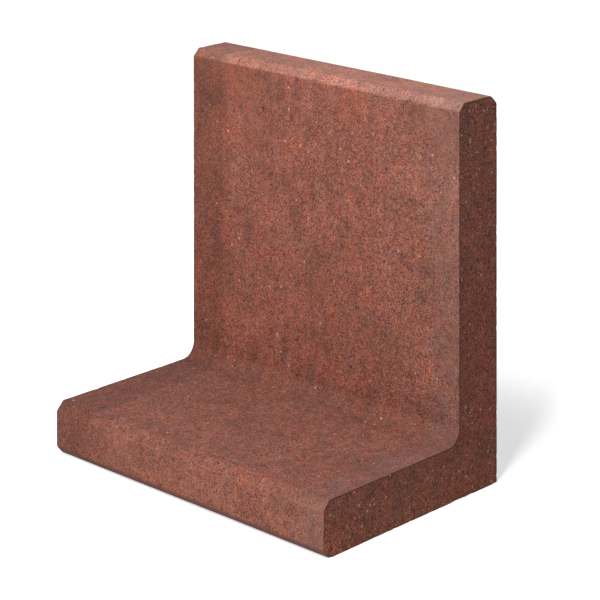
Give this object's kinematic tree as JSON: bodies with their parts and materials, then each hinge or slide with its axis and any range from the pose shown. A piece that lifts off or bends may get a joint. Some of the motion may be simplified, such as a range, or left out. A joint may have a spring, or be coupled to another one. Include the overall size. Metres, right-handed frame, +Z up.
{
  "type": "l-shaped retaining wall element",
  "caption": "L-shaped concrete retaining wall element: upright leg and shorter foot cast in one, with a filleted inner corner and chamfered top and toe edges, in mottled brick red.",
  "frame": {"origin": "on the bed, below the middle of the element's bounding box: half way along its length and half way between the back face and the toe", "axes": "+X along the wall, from end face to end face; the back face looks to +Y and the foot points to -Y; +Z up the leg"},
  "size_m": [0.4, 0.272, 0.414],
  "materials": {
    "red_concrete": "matte"
  },
  "bodies": {
    "root": {"l_element": "red_concrete"}
  },
  "joints": []
}
